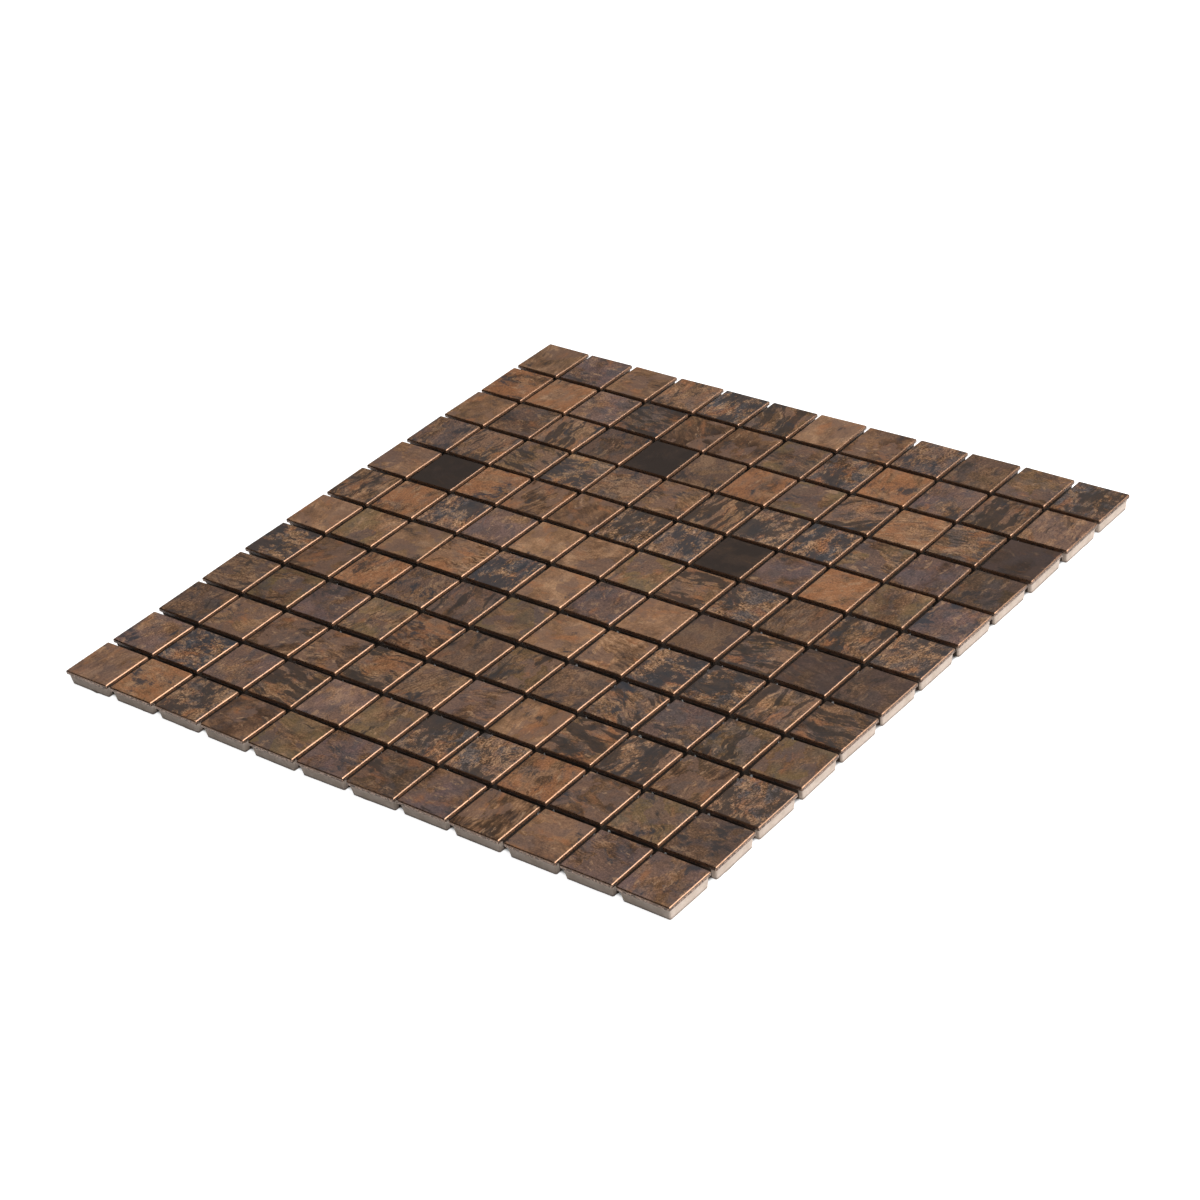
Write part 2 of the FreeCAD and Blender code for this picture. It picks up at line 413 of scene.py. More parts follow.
# Ceramic: unglazed, cream with a pink cast, fine dark specks; painted near-black shade on the body between
# the tiles, a thin dark band just under the copper on the outer sides, and painted contact shade at the foot
ceramic = dict(
    clay=[(0.30, rgb(0.63, 0.51, 0.42)), (0.55, rgb(0.74, 0.61, 0.52)), (0.75, rgb(0.80, 0.68, 0.59))],
    broad=(0.22, 5.0, 0.6),
    fine=(2.4, 4.0, 0.7),
    fineShare=0.5,
    specks=(1.4, 3.0, 0.5),
    specked=(0.68, 0.73),
    speckCover=0.6,
    speck=rgb(0.42, 0.31, 0.24),
    uneven=(0.5, 4.0),
    unevenBy=0.7,  # mm that the stains' edges wander
    footShade=rgb(0.24, 0.19, 0.16),
    shaded=(1.8, 0.7),  # mm above the table, from unshaded to dark at the foot: painted contact shade
    shadeCover=0.75,
    # The near-black stain colour is painted shade, darkening the body where neighbouring tiles shade it
    stain=rgb(0.034, 0.021, 0.014),
    stained=(0.30, 1.10),  # mm above the table, from clean to dark: painted shade on the body between the tiles
    paintedShadeLift=4.30,  # mm that the painted shade ends higher on the sheet's outer sides, where only a thin dark band under the copper is left
    stainCover=0.93,
    roughness=dict(base=0.7, fine=0.2),
    relief=dict(broad=1.0, fine=0.5, specks=-0.8),
    bump=(0.5, 0.15),  # strength, and depth in mm
    gloss=0.25,
)


def makeCeramic():
    material, tree, surface = newMaterial("fired_ceramic")
    cut = attribute(tree, "cutPlace")
    height = split(tree, attribute(tree, "tilePlace"))[2]
    marks = {name: clouds(tree, cut, *ceramic[name]) for name in ("broad", "fine")}
    marks["specks"] = rising(tree, clouds(tree, cut, *ceramic["specks"]), *ceramic["specked"])
    shade = plus(tree, marks["broad"], less(tree, marks["fine"], 0.5), ceramic["fineShare"])
    colour = graded(tree, shade, ceramic["clay"])
    colour = mixed(tree, product(tree, marks["specks"], ceramic["speckCover"]), colour, ceramic["speck"])
    uneven = plus(tree, height, mottle(tree, cut, *ceramic["uneven"]), ceramic["unevenBy"])
    # Painted contact shade: the foot darker towards the table
    shaded = rising(tree, uneven, *ceramic["shaded"])
    colour = mixed(tree, product(tree, shaded, ceramic["shadeCover"]), colour, ceramic["footShade"])
    # Painted shade: the body is near-black between the tiles; on the outer sides only a thin dark band just
    # under the copper
    stained = rising(tree, plus(tree, uneven, outermost(tree), -ceramic["paintedShadeLift"]), *ceramic["stained"])
    colour = mixed(tree, product(tree, stained, ceramic["stainCover"]), colour, ceramic["stain"])
    surface.inputs["Specular IOR Level"].default_value = ceramic["gloss"]
    roughness, relief = weighed(tree, marks, ceramic["roughness"]), weighed(tree, marks, ceramic["relief"])
    dress(tree, surface, colour, roughness, relief, *ceramic["bump"])
    return material


# Glass yarn: white coated fibre, fine lines along the yarn
glassYarn = dict(
    white=[(0.35, rgb(0.66, 0.66, 0.63)), (0.6, rgb(0.84, 0.84, 0.81))],
    fibres=(5.0, 3.0, 0.6),
    fibreShare=0.7,
    fields=(0.15, 3.0),
    roughness=dict(base=0.35, fibres=0.25),
    bump=(0.6, 0.06),  # strength, and depth in mm
)


def makeYarn(name, along):
    material, tree, surface = newMaterial(name)
    place = inMillimetres(tree, addNode(tree, "ShaderNodeTexCoord").outputs["Object"])
    fibres = clouds(tree, stretched(tree, place, along), *glassYarn["fibres"])
    fields = clouds(tree, place, *glassYarn["fields"])
    shade = plus(tree, fields, less(tree, fibres, 0.5), glassYarn["fibreShare"])
    roughness = weighed(tree, dict(fibres=fibres), glassYarn["roughness"])
    dress(tree, surface, graded(tree, shade, glassYarn["white"]), roughness, fibres, *glassYarn["bump"])
    return material


# Glue: a milky film, a little glossy, yellower where it is thick
glueFilm = dict(
    milky=[(0.32, rgb(0.50, 0.43, 0.35)), (0.68, rgb(0.74, 0.68, 0.59))],
    thick=(0.35, 5.0, 0.6),
    ripples=(0.9, 4.0, 0.55),
    roughness=dict(base=0.15, thick=0.3),
    bump=(0.5, 0.2),  # strength, and depth in mm
)


def makeGlue():
    material, tree, surface = newMaterial("mesh_glue")
    cut = attribute(tree, "cutPlace")
    thick, ripples = [clouds(tree, cut, *glueFilm[name]) for name in ("thick", "ripples")]
    roughness = weighed(tree, dict(thick=thick), glueFilm["roughness"])
    dress(tree, surface, graded(tree, thick, glueFilm["milky"]), roughness, ripples, *glueFilm["bump"])
    return material


materials = dict(
    copper=makePatina(),
    ceramic=makeCeramic(),
    weft=makeYarn("glass_weft", (0.1, 1.0, 1.0)),
    warp=makeYarn("glass_warp", (1.0, 0.1, 1.0)),
    glue=makeGlue(),
)
print("materials made")


# Points round a square with rounded corners, anticlockwise, the same number for any size
def roundedSquare(side, radius, height, perSide, perCorner):
    straight = side / 2 - radius
    quarter = []
    for step in range(perCorner + 1):
        angle = math.radians(90 * step / perCorner)
        quarter.append((straight + radius * math.cos(angle), straight + radius * math.sin(angle)))
    for step in range(1, perSide):
        quarter.append((straight * (1 - 2 * step / perSide), side / 2))
    points = []
    for turns in range(4):
        for x, y in quarter:
            for turn in range(turns):
                x, y = -y, x
            points.append((x * mm, y * mm, height * mm))
    return points


# A closed shape from a stack of such rings, (side, radius, height) from first to last
def stackOfRings(name, rings, perSide, perCorner):
    shape = bmesh.new()
    loops = [[shape.verts.new(point) for point in roundedSquare(*ring, perSide, perCorner)] for ring in rings]
    around = len(loops[0])
    for below, above in zip(loops, loops[1:]):
        for k in range(around):
            after = (k + 1) % around
            shape.faces.new((below[k], below[after], above[after], above[k]))
    for loop, height, turned in ((loops[0], rings[0][2], True), (loops[-1], rings[-1][2], False)):
        middle = shape.verts.new((0.0, 0.0, height * mm))
        for k in range(around):
            pair = (loop[(k + 1) % around], loop[k]) if turned else (loop[k], loop[(k + 1) % around])
            shape.faces.new((*pair, middle))
    bmesh.ops.recalc_face_normals(shape, faces=shape.faces)
    mesh = bpy.data.meshes.new(name)
    shape.to_mesh(mesh)
    shape.free()
    mesh.shade_smooth()
    return bpy.data.objects.new(name, mesh)


# Copper cap: a shallow pan, its top edge pressed to a narrow bevel, its rim open below; in mm
capForm = dict(
    side=23.0,
    top=7.0,
    skin=0.4,
    drop=1.6,  # from the face to the rim's foot
    corner=0.42,
    leastCorner=0.3,
    bevel=0.36,
    bend=0.06,  # softens both edges of the bevel
    rimEdge=0.12,
    ceilingLoop=0.9,  # loops that carry the dents, as shares of the side or of the rim's height
    rimLoops=(0.35, 0.75),
    faceLoops=(0.985, 0.8, 0.45),
    perSide=12,
    perCorner=3,
)


def makeCapMaster():
    side = capForm["side"] - 2 * sheet["slack"]
    top = capForm["top"] - sheet["slack"]
    foot = capForm["top"] - capForm["drop"]
    inside = side - 2 * capForm["skin"]
    ceiling = top - capForm["skin"]
    corner, bevel, bend, lip = capForm["corner"], capForm["bevel"], capForm["bend"], capForm["rimEdge"]
    inner = max(corner - capForm["skin"], capForm["leastCorner"])
    rings = [(inside * capForm["ceilingLoop"], inner, ceiling), (inside, inner, ceiling)]
    rings.append((inside, inner, foot + lip))
    rings += [(inside + lip, inner + lip / 2, foot), (side - lip, corner, foot), (side, corner, foot + lip)]
    upright = top - bevel - foot
    rings += [(side, corner, foot + upright * share) for share in capForm["rimLoops"]]
    rings += [(side, corner, foot + upright - bend), (side - bend, corner, top - bevel + bend)]
    flat = side - 2 * bevel
    rings += [(flat + bend, corner, top - bend), (flat - 2 * bend, corner, top)]
    rings += [(flat * share, corner, top) for share in capForm["faceLoops"]]
    return stackOfRings("cap_master", rings, capForm["perSide"], capForm["perCorner"])


# Ceramic body: pressed with a draft, soft upright edges, its toe rounded; in mm
bodyForm = dict(
    crown=22.1,
    foot=20.6,
    corner=0.8,
    leastCorner=0.1,
    bottom=0.4,
    top=6.6,
    toe=0.35,
    toeSteps=3,
    footLoops=(0.55, 0.88),  # shares of the foot's side
    sideHeights=(2.2, 3.8, 5.2),
    crownLoop=0.9,
    perSide=6,
    perCorner=4,
)


def makeBodyMaster():
    bottom, top, toe = bodyForm["bottom"], bodyForm["top"], bodyForm["toe"]
    corner = bodyForm["corner"]

    def sideAt(height):
        share = (height - bottom) / (top - bottom)
        return bodyForm["foot"] + (bodyForm["crown"] - bodyForm["foot"]) * share

    low = sideAt(bottom + toe)
    rings = [(low * share, corner, bottom) for share in bodyForm["footLoops"]]
    for step in range(bodyForm["toeSteps"] + 1):
        angle = math.pi / 2 - math.radians(90 * step / bodyForm["toeSteps"])
        inset = toe * (1 - math.cos(angle))
        radius = max(corner - inset, bodyForm["leastCorner"])
        rings.append((low - 2 * inset, radius, bottom + toe - toe * math.sin(angle)))
    rings += [(sideAt(height), corner, height) for height in (*bodyForm["sideHeights"], top)]
    rings.append((sideAt(top) * bodyForm["crownLoop"], corner, top))
    return stackOfRings("body_master", rings, bodyForm["perSide"], bodyForm["perCorner"])


# Glue pad: the film between a body's foot and the mesh, thin at its edges; in mm
gluePad = dict(
    side=19.4,
    corner=4.0,
    bottom=0.19,
    top=0.42,
    loops=(0.3, 0.6, 0.85),  # shares of the side
    bulgeFrom=0.07,  # above the bottom
    bulgeTo=0.04,  # below the top
    bulge=1.01,
    shoulder=0.97,
    perSide=8,
    perCorner=4,
)


def makeGlueMaster():
    side, corner, bottom, top = gluePad["side"], gluePad["corner"], gluePad["bottom"], gluePad["top"]
    rings = [(side * share, corner * share, bottom) for share in gluePad["loops"]]
    rings.append((side, corner, bottom + gluePad["bulgeFrom"]))
    rings.append((side * gluePad["bulge"], corner, top - gluePad["bulgeTo"]))
    rings.append((side * gluePad["shoulder"], corner, top))
    return stackOfRings("glue_master", rings, gluePad["perSide"], gluePad["perCorner"])


# Where the CAD tiles of a row lie: middle and turn of each loose part of the node, left to right
def tilesOfNode(node):
    shape = bmesh.new()
    shape.from_mesh(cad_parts[node].data)
    bmesh.ops.remove_doubles(shape, verts=shape.verts, dist=sheet["mergeWithin"] * mm)
    left = set(shape.verts)
    tiles = []
    while left:
        reached, edge = set(), [left.pop()]
        while edge:
            vertex = edge.pop()
            reached.add(vertex)
            for link in vertex.link_edges:
                other = link.other_vert(vertex)
                if other in left:
                    left.remove(other)
                    edge.append(other)
        middle = sum((vertex.co for vertex in reached), Vector()) / len(reached)
        turn = 0.0
        for vertex in reached:
            away = vertex.co - middle
            turn += (math.atan2(away.y, away.x) % (math.pi / 2) - math.pi / 4) / len(reached)
        tiles.append((middle.x, middle.y, turn))
    shape.free()
    return sorted(tiles)


# How much each tile has of each finish: dark, warm, blotchy, olive, lilac, flamed
finishes = dict(
    nearlyBlack=(0.93, 0.0, 0.2, 0.0, 0.0, 0.0),
    blueGrey=(0.62, 0.0, 0.3, 0.0, 0.7, 0.1),
    coppery=(0.0, 1.0, 0.3, 0.0, 0.0, 0.1),
    lilac=(0.08, 0.1, 0.35, 0.0, 1.0, 0.1),
    olive=(0.05, 0.1, 0.25, 1.0, 0.0, 0.3),
    flamed=(0.05, 0.4, 0.35, 0.3, 0.1, 1.0),
    blotched=(0.05, 0.4, 0.95, 0.2, 0.1, 0.2),
    plain=(0.0, 0.35, 0.05, 0.1, 0.1, 0.0),
    dusky=(0.35, 0.2, 0.4, 0.3, 0.2, 0.2),
)
# Tiles whose finish stands out, as (column, row) from the front left; the rest fall by chance
laid = dict(
    nearlyBlack=[(4, 9), (7, 7), (1, 7)],
    blueGrey=[(8, 5), (11, 9), (11, 5), (10, 5)],
    coppery=[(2, 7), (9, 7), (1, 6), (2, 4), (8, 10), (0, 10)],
    lilac=[(11, 0), (10, 0), (1, 11), (2, 3), (8, 7), (10, 8), (7, 0), (4, 1), (3, 4), (3, 6)],
    olive=[(7, 9), (1, 5), (9, 8), (5, 4), (5, 1), (1, 3), (3, 3), (11, 3), (10, 7), (6, 6)],
    flamed=[(3, 10), (4, 2), (3, 1), (10, 10), (9, 5), (8, 2), (9, 2), (2, 9), (10, 6), (11, 4)],
    blotched=[
        (4, 11), (7, 8), (8, 6), (9, 4), (2, 6), (4, 5), (8, 8), (0, 4), (1, 1), (7, 1), (11, 11), (6, 1),
    ],
    plain=[
        (2, 11), (6, 11), (7, 11), (4, 10), (3, 7), (4, 7), (5, 6), (5, 5), (7, 5), (3, 0), (9, 1), (3, 2),
        (7, 2),
    ],
    dusky=[(3, 9), (4, 8), (5, 9), (1, 9), (3, 4), (5, 3), (7, 3), (0, 2), (5, 2), (11, 8), (0, 3)],
)
chance = dict(
    seed=21,
    finishes=["plain", "plain", "plain", "blotched", "dusky", "olive", "lilac", "coppery", "flamed"],
    spread=0.12,  # how far a tile's amounts stray from its finish
    tilt=0.09,  # degrees, how far a tile may lean
    grain=(0, 90, 0, 90),  # degrees, how caps were cut across the big sheet; one in five at any angle
    askew=14,  # degrees
    bigSheet=900,  # mm
)
finishOf = {place: finish for finish, places in laid.items() for place in places}
luck = random.Random(chance["seed"])


def drawTile(column, row):
    finish = finishOf.get((column, row))
    if finish is None:
        first, second = finishes[luck.choice(chance["finishes"])], finishes[luck.choice(chance["finishes"])]
        share = luck.random()
        amounts = [a * share + b * (1 - share) for a, b in zip(first, second)]
    else:
        amounts = list(finishes[finish])
    spread, askew = chance["spread"], chance["askew"]
    amounts = [min(max(amount + luck.uniform(-spread, spread), 0.0), 1.0) for amount in amounts]
    lean = math.radians(chance["tilt"])
    across = luck.choice((*chance["grain"], luck.uniform(0, 180))) + luck.uniform(-askew, askew)
    return dict(
        lean=(luck.uniform(-lean, lean), luck.uniform(-lean, lean)),
        cutTurn=math.radians(across),
        cutFrom=[luck.uniform(0, chance["bigSheet"]) for axis in range(3)],
        patinaOne=amounts[:3],
        patinaTwo=amounts[3:],
        patinaThree=[luck.random() for amount in range(3)],
    )


places = [(column, row) for row in range(sheet["rows"]) for column in range(sheet["columns"])]
drawn = {place: drawTile(*place) for place in places}


# A mesh of single points, one per tile, that carries what differs from tile to tile
def pointsOfTiles(name, rows):
    places, tiles = [], []
    for row in rows:
        for column, (x, y, turn) in enumerate(tilesOfNode("copper_caps_row_%02d" % (row + 1))):
            tile = drawn[column, row]
            places.append((x, y, 0.0))
            tiles.append(dict(tile, lay=(*tile["lean"], turn)))
    mesh = bpy.data.meshes.new(name)
    mesh.from_pydata(places, [], [])
    for word in ("lay", "cutFrom", *finishWords):
        values = mesh.attributes.new(word, "FLOAT_VECTOR", "POINT")
        values.data.foreach_set("vector", [number for tile in tiles for number in tile[word]])
    turns = mesh.attributes.new("cutTurn", "FLOAT", "POINT")
    turns.data.foreach_set("value", [tile["cutTurn"] for tile in tiles])
    made = bpy.data.objects.new(name, mesh)
    bpy.context.collection.objects.link(made)
    return made


def namedAttribute(tree, name, kind="FLOAT_VECTOR"):
    return addNode(tree, "GeometryNodeInputNamedAttribute", {"Name": name}, data_type=kind).outputs[0]


def stored(tree, geometry, name, value):
    inputs = {"Geometry": geometry, "Name": name, "Value": value}
    made = addNode(tree, "GeometryNodeStoreNamedAttribute", inputs, data_type="FLOAT_VECTOR", domain="POINT")
    return made.outputs[0]


def moved(tree, geometry, x=0.0, y=0.0, z=0.0):
    inputs = {"Geometry": geometry, "Offset": joined(tree, x, y, z)}
    return addNode(tree, "GeometryNodeSetPosition", inputs).outputs[0]


# A real copy of a shape on every point, turned by its lay if that is given
def copiedOnto(tree, points, shape, lay=None):
    inputs = {"Points": points, "Instance": shape}
    if lay is not None:
        inputs["Rotation"] = lay
    copies = addNode(tree, "GeometryNodeInstanceOnPoints", inputs).outputs[0]
    return addNode(tree, "GeometryNodeRealizeInstances", {"Geometry": copies}).outputs[0]


# A new tree from its named inputs, each (label, kind, default)
def newTree(name, sockets):
    tree = bpy.data.node_groups.new(name, "GeometryNodeTree")
    tree.interface.new_socket("Geometry", in_out="OUTPUT", socket_type="NodeSocketGeometry")
    for label, kind, value in sockets:
        socket = tree.interface.new_socket(label, in_out="INPUT", socket_type=kind)
        if value is not None:
            socket.default_value = value
    return tree, addNode(tree, "NodeGroupInput").outputs, addNode(tree, "NodeGroupOutput").inputs


def finished(tree, geometry, given, result):
    inputs = {"Geometry": geometry, "Material": given["Surface"]}
    tree.links.new(addNode(tree, "GeometryNodeSetMaterial", inputs).outputs[0], result[0])
    return tree


# Tiles are dented sideways, sink in the middle of the top, and may have a ragged lower edge
dents = dict(
    detail=2.0,
    hollow=(0.07, 2.0),
    flat=(8.5, 11.0),  # mm from a tile's middle, from where its top may sink to where it may not
    rag=(0.8, 3.0, 0.7),
)


# Tiles of a row: the master on every point, dented by a noise that differs from tile to tile
def makeTileTree():
    tree, given, result = newTree("laid_tiles", [
        ("Points", "NodeSocketGeometry", None),
        ("Master", "NodeSocketObject", None),
        ("Surface", "NodeSocketMaterial", None),
        ("Dent", "NodeSocketFloat", 0.04 * mm),
        ("Dent Scale", "NodeSocketFloat", 0.12),
        ("Hollow", "NodeSocketFloat", 0.0),
        ("Rag", "NodeSocketFloat", 0.0),
        ("Rag Below", "NodeSocketFloat", 5.9),
    ])
    master = addNode(tree, "GeometryNodeObjectInfo", {"Object": given["Master"]}).outputs["Geometry"]
    position = addNode(tree, "GeometryNodeInputPosition").outputs[0]
    kept = stored(tree, master, "tilePlace", inMillimetres(tree, position))
    lay = addNode(tree, "FunctionNodeEulerToRotation", {0: namedAttribute(tree, "lay")}).outputs[0]
    tiles = copiedOnto(tree, given["Points"], kept, lay)

    own = namedAttribute(tree, "tilePlace")
    cutTurn = {"Vector": own, "Angle": namedAttribute(tree, "cutTurn", "FLOAT")}
    turned = addNode(tree, "ShaderNodeVectorRotate", cutTurn, rotation_type="Z_AXIS").outputs[0]
    cut = vectorMaths(tree, "ADD", turned, namedAttribute(tree, "cutFrom"))
    tiles = stored(tree, tiles, "cutPlace", cut)

    cutPlace = namedAttribute(tree, "cutPlace")
    wander = drift(tree, cutPlace, given["Dent Scale"], dents["detail"])
    dent = addNode(tree, "ShaderNodeVectorMath", {0: wander, "Scale": given["Dent"]}, operation="SCALE")
    dentX, dentY, dentZ = split(tree, dent.outputs[0])
    x, y, height = split(tree, own)
    inner = less(tree, 1.0, rising(tree, awayFromMiddle(tree, x, y), *dents["flat"]))
    sunk = product(tree, product(tree, clouds(tree, cutPlace, *dents["hollow"]), inner), given["Hollow"])
    lowPart = maths(tree, "LESS_THAN", height, given["Rag Below"])
    ragged = product(tree, product(tree, mottle(tree, cutPlace, *dents["rag"]), lowPart), given["Rag"])
    tiles = moved(tree, tiles, dentX, dentY, less(tree, ragged, sunk))
    return finished(tree, tiles, given, result)


# Backing mesh: flat weft yarns under warp yarns, in mm
meshForm = dict(
    yarns=55,
    pitch=5.2,
    length=290.0,
    weft=dict(Strand_Width=0.46, Strand_Height=0.17, Middle=0.17, Apart=0.21),
    weftSteps=110,
    weftSides=6,
    warp=dict(Strand_Width=0.40, Strand_Height=0.14, Middle=0.20, Apart=0.24, Lift=0.12),
    warpSteps=165,
    warpSides=5,
    sag=0.3,  # share of the lift that strands rise and sink by along their way
    stray=(60.0, 1.0),  # the noise that bends the yarns sideways, per metre
)


# Yarns of the mesh: pairs of strands side by side, which may swap sides at every crossing
def makeYarnTree():
    tree, given, result = newTree("mesh_yarns", [
        ("Surface", "NodeSocketMaterial", None),
        ("Yarns", "NodeSocketInt", meshForm["yarns"]),
        ("Pitch", "NodeSocketFloat", meshForm["pitch"] * mm),
        ("Length", "NodeSocketFloat", meshForm["length"] * mm),
        ("Steps", "NodeSocketInt", 56),
        ("Strand Width", "NodeSocketFloat", 0.42 * mm),
        ("Strand Height", "NodeSocketFloat", 0.16 * mm),
        ("Middle", "NodeSocketFloat", 0.1 * mm),
        ("Apart", "NodeSocketFloat", 0.22 * mm),
        ("Swap", "NodeSocketFloat", 0.0),
        ("Lift", "NodeSocketFloat", 0.0),
        ("Turn", "NodeSocketFloat", 0.0),
        ("Sides", "NodeSocketInt", 5),
        ("Wander", "NodeSocketFloat", 0.1 * mm),
    ])

    # One line along X, from which every strand is made
    pitch, length = given["Pitch"], given["Length"]
    step = maths(tree, "DIVIDE", length, given["Steps"])
    line = addNode(tree, "GeometryNodeMeshLine", {
        "Count": maths(tree, "ADD", given["Steps"], 1.0),
        "Start Location": joined(tree, product(tree, length, -0.5)),
        "Offset": joined(tree, step),
    }, mode="OFFSET").outputs[0]
    x = split(tree, addNode(tree, "GeometryNodeInputPosition").outputs[0])[0]
    phase = maths(tree, "DIVIDE", x, pitch)
    swapping = maths(tree, "COSINE", product(tree, phase, math.pi))
    side = plus(tree, less(tree, 1.0, given["Swap"]), swapping, given["Swap"])
    aside = product(tree, side, given["Apart"])
    wave = maths(tree, "COSINE", product(tree, phase, 2 * math.pi))
    rise = product(tree, plus(tree, 1 - meshForm["sag"], wave, meshForm["sag"]), given["Lift"])

    # A pair of strands with a flat round section
    ring = addNode(tree, "GeometryNodeCurvePrimitiveCircle", {"Resolution": given["Sides"], "Radius": 0.5})
    section = joined(tree, given["Strand Width"], given["Strand Height"], 1.0)
    flat = addNode(tree, "GeometryNodeTransform", {"Geometry": ring.outputs[0], "Scale": section})
    strands = addNode(tree, "GeometryNodeJoinGeometry")
    for sign in (1.0, -1.0):
        strandHeight = plus(tree, given["Middle"], rise, sign)
        laidLine = moved(tree, line, 0.0, product(tree, aside, sign), strandHeight)
        curve = addNode(tree, "GeometryNodeMeshToCurve", {0: laidLine})
        level = addNode(tree, "GeometryNodeSetCurveNormal", {"Curve": curve.outputs[0]})
        strand = addNode(tree, "GeometryNodeCurveToMesh", {
            "Curve": level.outputs[0], "Profile Curve": flat.outputs[0], "Fill Caps": True,
        })
        tree.links.new(strand.outputs[0], strands.inputs[0])

    # Laid side by side, each yarn bent a little
    half = product(tree, less(tree, given["Yarns"], 1.0), -0.5)
    starts = addNode(tree, "GeometryNodeMeshLine", {
        "Count": given["Yarns"],
        "Start Location": joined(tree, 0.0, product(tree, half, pitch)),
        "Offset": joined(tree, 0.0, pitch),
    }, mode="OFFSET").outputs[0]
    yarns = copiedOnto(tree, starts, strands.outputs[0])
    place = addNode(tree, "GeometryNodeInputPosition").outputs[0]
    astray = split(tree, drift(tree, place, *meshForm["stray"]))[1]
    strayed = moved(tree, yarns, 0.0, product(tree, astray, given["Wander"]))
    turn = joined(tree, 0.0, 0.0, given["Turn"])
    turned = addNode(tree, "GeometryNodeTransform", {"Geometry": strayed, "Rotation": turn})
    smooth = addNode(tree, "GeometryNodeSetShadeSmooth", {"Geometry": turned.outputs[0]})
    return finished(tree, smooth.outputs[0], given, result)


# Runs a tree on a carrier object and keeps the result as a plain mesh under the same name
def grow(carrier, tree, **values):
    modifier = carrier.modifiers.new("grown", "NODES")
    modifier.node_group = tree
    sockets = {item.name: item.identifier for item in tree.interface.items_tree if item.in_out == "INPUT"}
    for name, value in values.items():
        modifier[sockets[name.replace("_", " ")]] = value
    graph = bpy.context.evaluated_depsgraph_get()
    grown = bpy.data.meshes.new_from_object(carrier.evaluated_get(graph), depsgraph=graph)
    carrier.modifiers.remove(modifier)
    grown.materials.clear()
    grown.materials.append(values["Surface"])
    grown.polygons.foreach_set("material_index", [0] * len(grown.polygons))
    spare = carrier.data
    carrier.data = grown
    bpy.data.meshes.remove(spare)
    for word in ("lay", "cutFrom", "cutTurn"):
        if word in grown.attributes:
            grown.attributes.remove(grown.attributes[word])
    return carrier


def trianglesOf(piece):
    return sum(len(face.vertices) - 2 for face in piece.data.polygons)


tileTree = makeTileTree()
capMaster, bodyMaster, glueMaster = makeCapMaster(), makeBodyMaster(), makeGlueMaster()
denting = dict(
    caps=dict(Dent=2 * sheet["slack"] * mm, Hollow=0.07 * mm, Rag=0.30 * mm, Rag_Below=5.6),
    bodies=dict(Dent=0.22 * mm, Dent_Scale=0.2),
    glue=dict(Dent=2.6 * mm, Dent_Scale=0.16, Rag=0.16 * mm, Rag_Below=0.24),
)
triangles = 0
for row in range(sheet["rows"]):
    number = "%02d" % (row + 1)
    caps = grow(
        pointsOfTiles("caps_row_" + number, [row]), tileTree,
        Master=capMaster, Surface=materials["copper"], **denting["caps"],
    )
    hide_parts("copper_caps_row_" + number)
    bodies = grow(
        pointsOfTiles("bodies_row_" + number, [row]), tileTree,
        Master=bodyMaster, Surface=materials["ceramic"], **denting["bodies"],
    )
    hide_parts("ceramic_bodies_row_" + number)
    for piece in (caps, bodies):
        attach(piece, "root")
        triangles += trianglesOf(piece)
print("tiles laid,", triangles, "triangles")

yarnTree = makeYarnTree()


def growYarns(name, lengths, **values):
    carrier = bpy.data.objects.new(name, bpy.data.meshes.new(name))
    bpy.context.collection.objects.link(carrier)
    return grow(carrier, yarnTree, **{word: value * mm for word, value in lengths.items()}, **values)


weft = growYarns(
    "mesh_weft", meshForm["weft"], Surface=materials["weft"],
    Steps=meshForm["weftSteps"], Sides=meshForm["weftSides"],
)
warp = growYarns(
    "mesh_warp", meshForm["warp"], Surface=materials["warp"],
    Steps=meshForm["warpSteps"], Sides=meshForm["warpSides"], Swap=1.0, Turn=math.pi / 2,
)
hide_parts("mesh_weft_yarns")
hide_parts("mesh_warp_yarns")
glue = grow(
    pointsOfTiles("mesh_glue", range(sheet["rows"])), tileTree,
    Master=glueMaster, Surface=materials["glue"], **denting["glue"],
)
for piece in (weft, warp, glue):
    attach(piece, "root")
    triangles += trianglesOf(piece)
for master in (capMaster, bodyMaster, glueMaster):
    bpy.data.objects.remove(master)
print("mesh and glue made,", triangles, "triangles in all")

# Studio: white floor that keeps a faint shadow, key light from behind on the right, dim front
studio = dict(
    floorSide=8.0,
    floorDiffuse=0.64,
    floorRoughness=0.9,
    floorWhite=0.93,  # strength added where the camera or a gloss looks at the floor
    underSheet=(0.145, 0.147),  # metres, from no white of the floor's own to all of it
    window=0.145,  # metres, within this the floor lets light through to the underside
    beneath=0.15,  # strength of the world below the floor
    horizon=(-0.04, 0.0),  # from below to above it
    dim=0.0,  # strength of the world low in the front
    bright=0.22,  # strength of the world high at the back
    brightSide=(0.40, 0.76, 0.51),
    brightening=(-0.35, 0.75),  # from dim to bright, as a view turns to the bright side
)


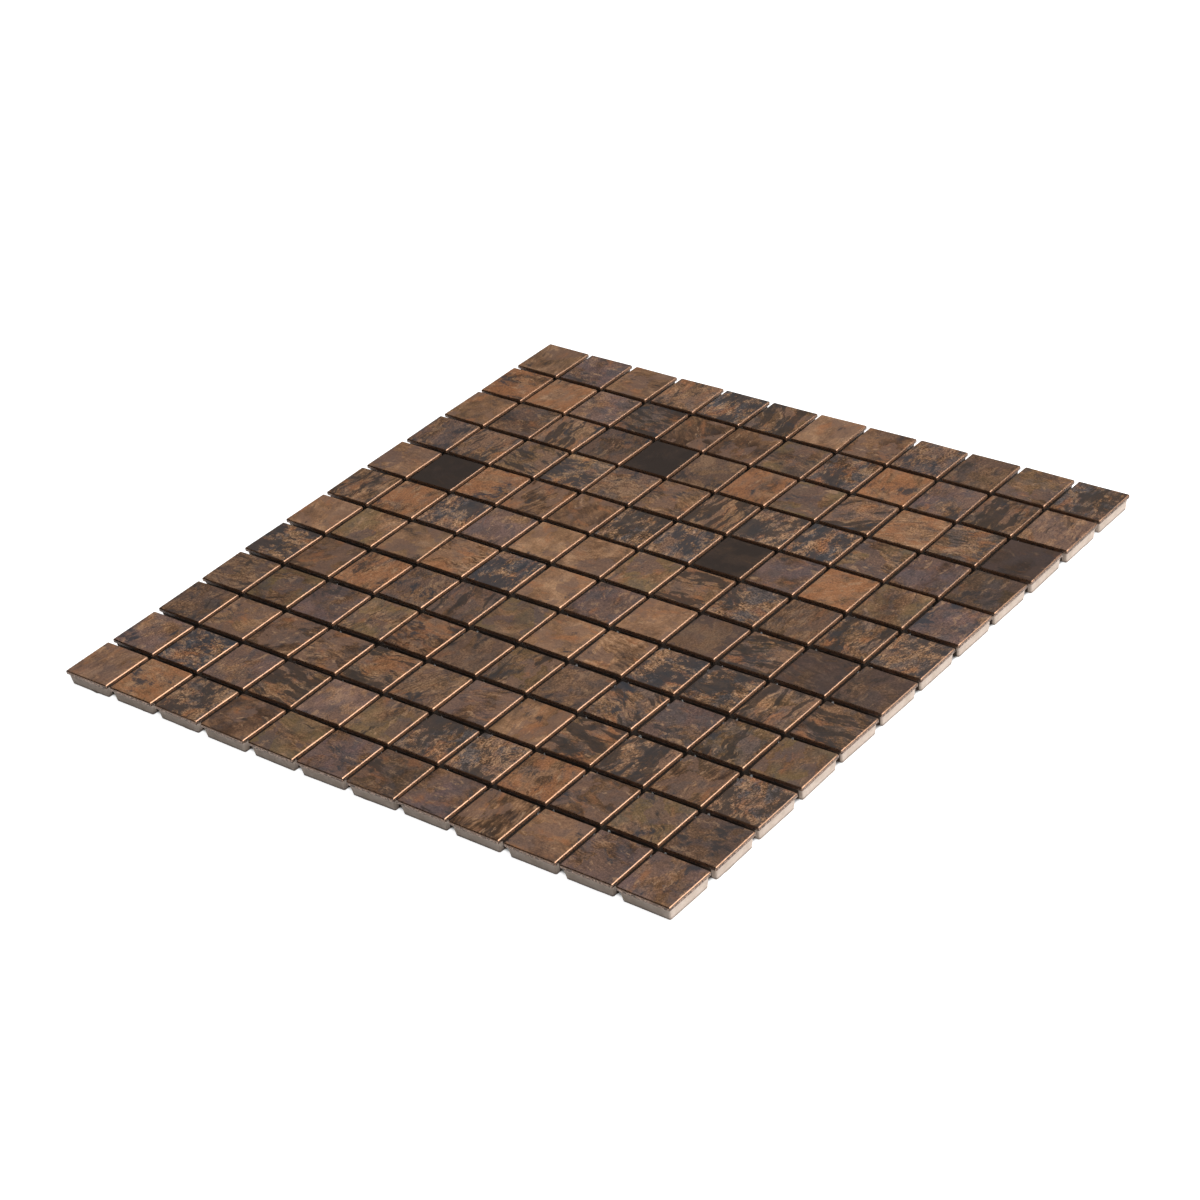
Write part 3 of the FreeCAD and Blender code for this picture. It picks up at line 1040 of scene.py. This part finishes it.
def makeFloor():
    mesh = bpy.data.meshes.new("floor")
    half = studio["floorSide"] / 2
    corners = [(-half, -half, 0.0), (half, -half, 0.0), (half, half, 0.0), (-half, half, 0.0)]
    mesh.from_pydata(corners, [], [(0, 1, 2, 3)])
    floor = bpy.data.objects.new("floor", mesh)
    bpy.context.collection.objects.link(floor)
    material, tree, surface = newMaterial("white_floor")
    surface.inputs["Base Color"].default_value = rgb(*(studio["floorDiffuse"],) * 3)
    surface.inputs["Roughness"].default_value = studio["floorRoughness"]
    surface.inputs["Specular IOR Level"].default_value = 0.0
    path = addNode(tree, "ShaderNodeLightPath")
    seen = maths(tree, "MAXIMUM", path.outputs["Is Camera Ray"], path.outputs["Is Glossy Ray"])
    seen = maths(tree, "MAXIMUM", seen, path.outputs["Is Transmission Ray"])
    x, y, z = split(tree, addNode(tree, "ShaderNodeTexCoord").outputs["Object"])
    away = awayFromMiddle(tree, x, y)
    beside = rising(tree, away, *studio["underSheet"])
    white = product(tree, product(tree, seen, beside), studio["floorWhite"])
    lit = addNode(tree, "ShaderNodeEmission", {"Strength": white})
    both = addNode(tree, "ShaderNodeAddShader", {0: surface.outputs[0], 1: lit.outputs[0]})

    # From below the floor is clear, and light on its way to the sheet passes the window
    under = addNode(tree, "ShaderNodeNewGeometry").outputs["Backfacing"]
    window = maths(tree, "LESS_THAN", away, studio["window"])
    through = maths(tree, "MAXIMUM", under, product(tree, window, less(tree, 1.0, seen)))
    clear = addNode(tree, "ShaderNodeBsdfTransparent")
    oneSided = addNode(tree, "ShaderNodeMixShader", {0: through, 1: both.outputs[0], 2: clear.outputs[0]})
    tree.links.new(oneSided.outputs[0], tree.nodes["Material Output"].inputs["Surface"])
    mesh.materials.append(material)
    return floor


makeFloor()

lamps = [
    dict(name="key", place=(1.66, 0.51, 1.87), side=2.6, watts=92.0),
]
for lamp in lamps:
    light = bpy.data.lights.new(lamp["name"], "AREA")
    light.size = lamp["side"]
    light.energy = lamp["watts"]
    holder = bpy.data.objects.new(lamp["name"], light)
    holder.location = lamp["place"]
    holder.rotation_euler = Vector(lamp["place"]).to_track_quat("Z", "Y").to_euler()
    bpy.context.collection.objects.link(holder)


def makeWorld():
    world = bpy.data.worlds.new("studio")
    world.use_nodes = True
    tree = world.node_tree
    direction = addNode(tree, "ShaderNodeTexCoord").outputs["Generated"]
    sides = {0: direction, 1: studio["brightSide"]}
    facing = addNode(tree, "ShaderNodeVectorMath", sides, operation="DOT_PRODUCT")
    above = addNode(tree, "ShaderNodeMapRange", {
        "Value": facing.outputs["Value"],
        "From Min": studio["brightening"][0],
        "From Max": studio["brightening"][1],
        "To Min": studio["dim"],
        "To Max": studio["bright"],
    }, interpolation_type="SMOOTHSTEP").outputs[0]
    isAbove = rising(tree, split(tree, direction)[2], *studio["horizon"])
    strength = addNode(tree, "ShaderNodeMix", {0: isAbove, 2: studio["beneath"], 3: above}).outputs[0]
    tree.nodes["Background"].inputs["Color"].default_value = rgb(1.0, 1.0, 1.0)
    tree.links.new(strength, tree.nodes["Background"].inputs["Strength"])
    return world


bpy.context.scene.world = makeWorld()
bpy.context.scene.view_settings.view_transform = "Standard"
print("studio set")
